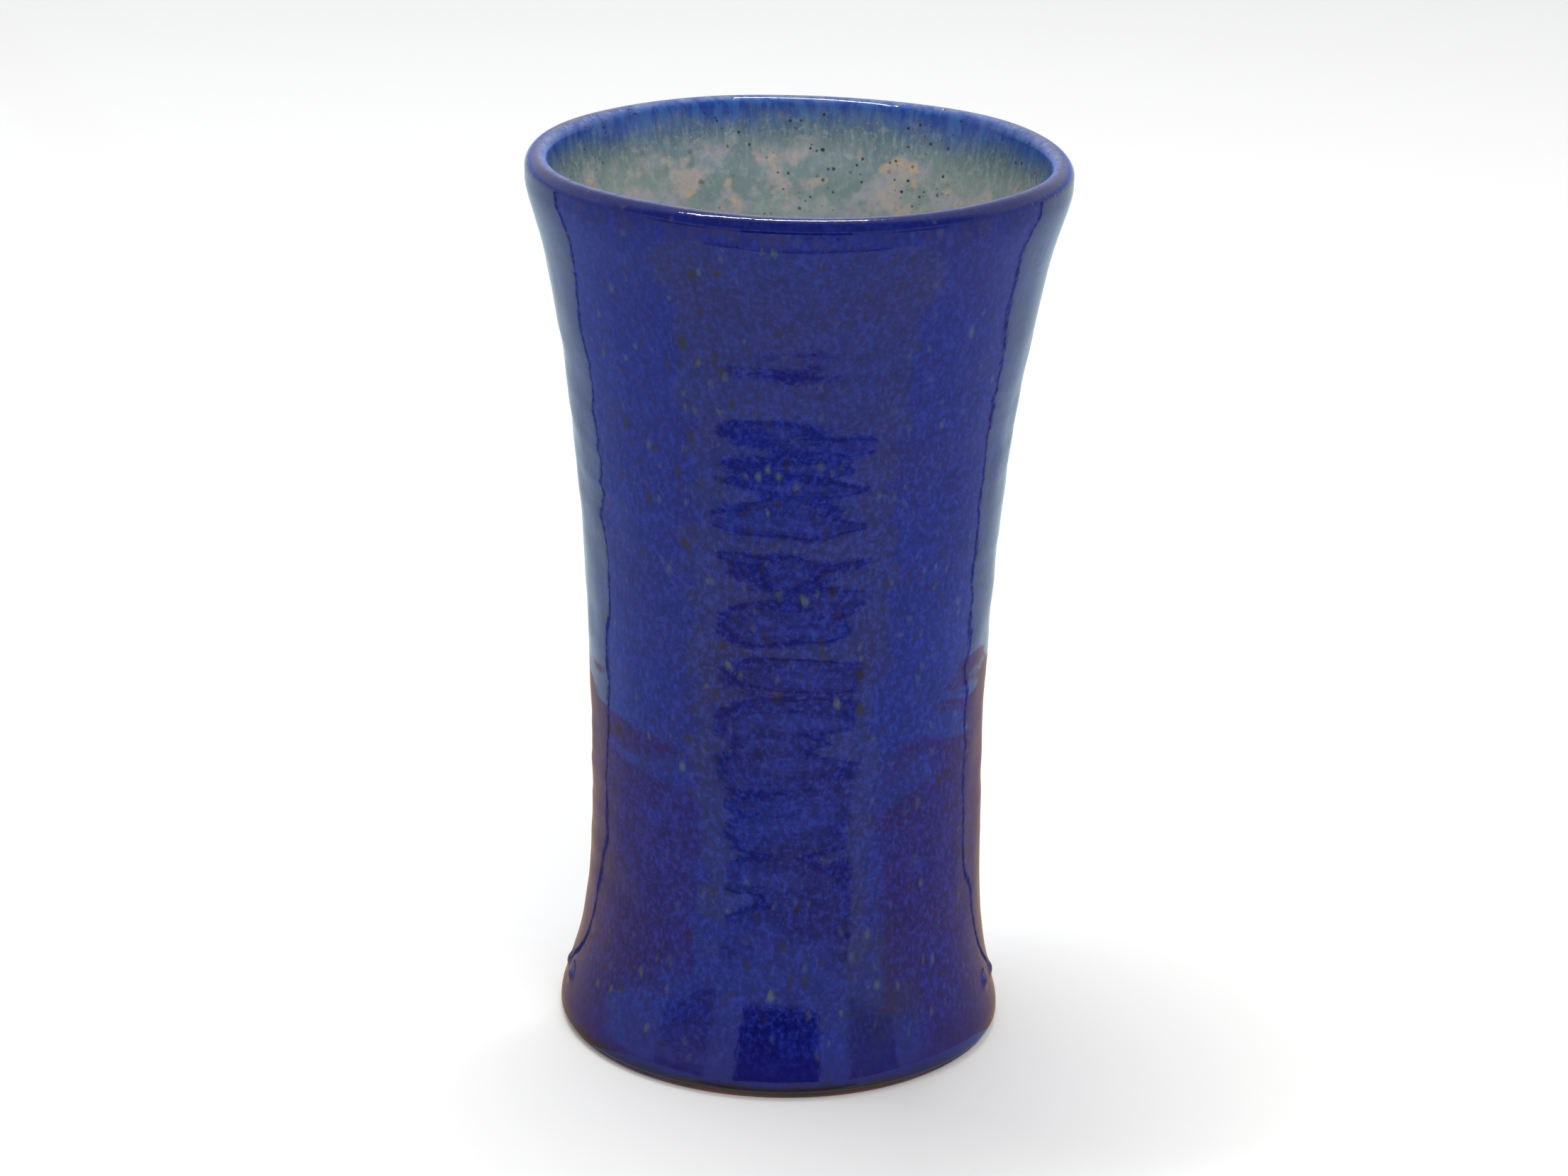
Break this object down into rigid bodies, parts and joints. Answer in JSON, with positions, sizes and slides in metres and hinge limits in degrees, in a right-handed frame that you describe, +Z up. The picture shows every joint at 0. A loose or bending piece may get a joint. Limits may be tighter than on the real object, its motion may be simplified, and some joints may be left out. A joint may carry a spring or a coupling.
{
  "type": "shaving mug",
  "caption": "Tall waisted stoneware mug with no handle: flaring mouth, rounded lip, narrow waist and spreading foot; holds shaving soap, lather or a brush.",
  "frame": {"origin": "centre of the foot, on the plane that the mug stands on", "axes": "+Z up along the axis it was thrown about; the form is round, so X and Y are free"},
  "size_m": [0.1, 0.1, 0.1725],
  "materials": {
    "clay": "unglazed iron-bearing stoneware, matt",
    "outer_glaze": "glossy deep cobalt blue, mottled and speckled",
    "rim_glaze": "glossy lighter blue, breaking brown on the lip's edge",
    "liner_glaze": "glossy grey-green with buff clouds and small pinholes"
  },
  "bodies": {
    "root": {"stoneware_body": "clay", "outer_glaze": "outer_glaze", "rim_glaze": "rim_glaze", "liner_glaze": "liner_glaze"}
  },
  "joints": []
}
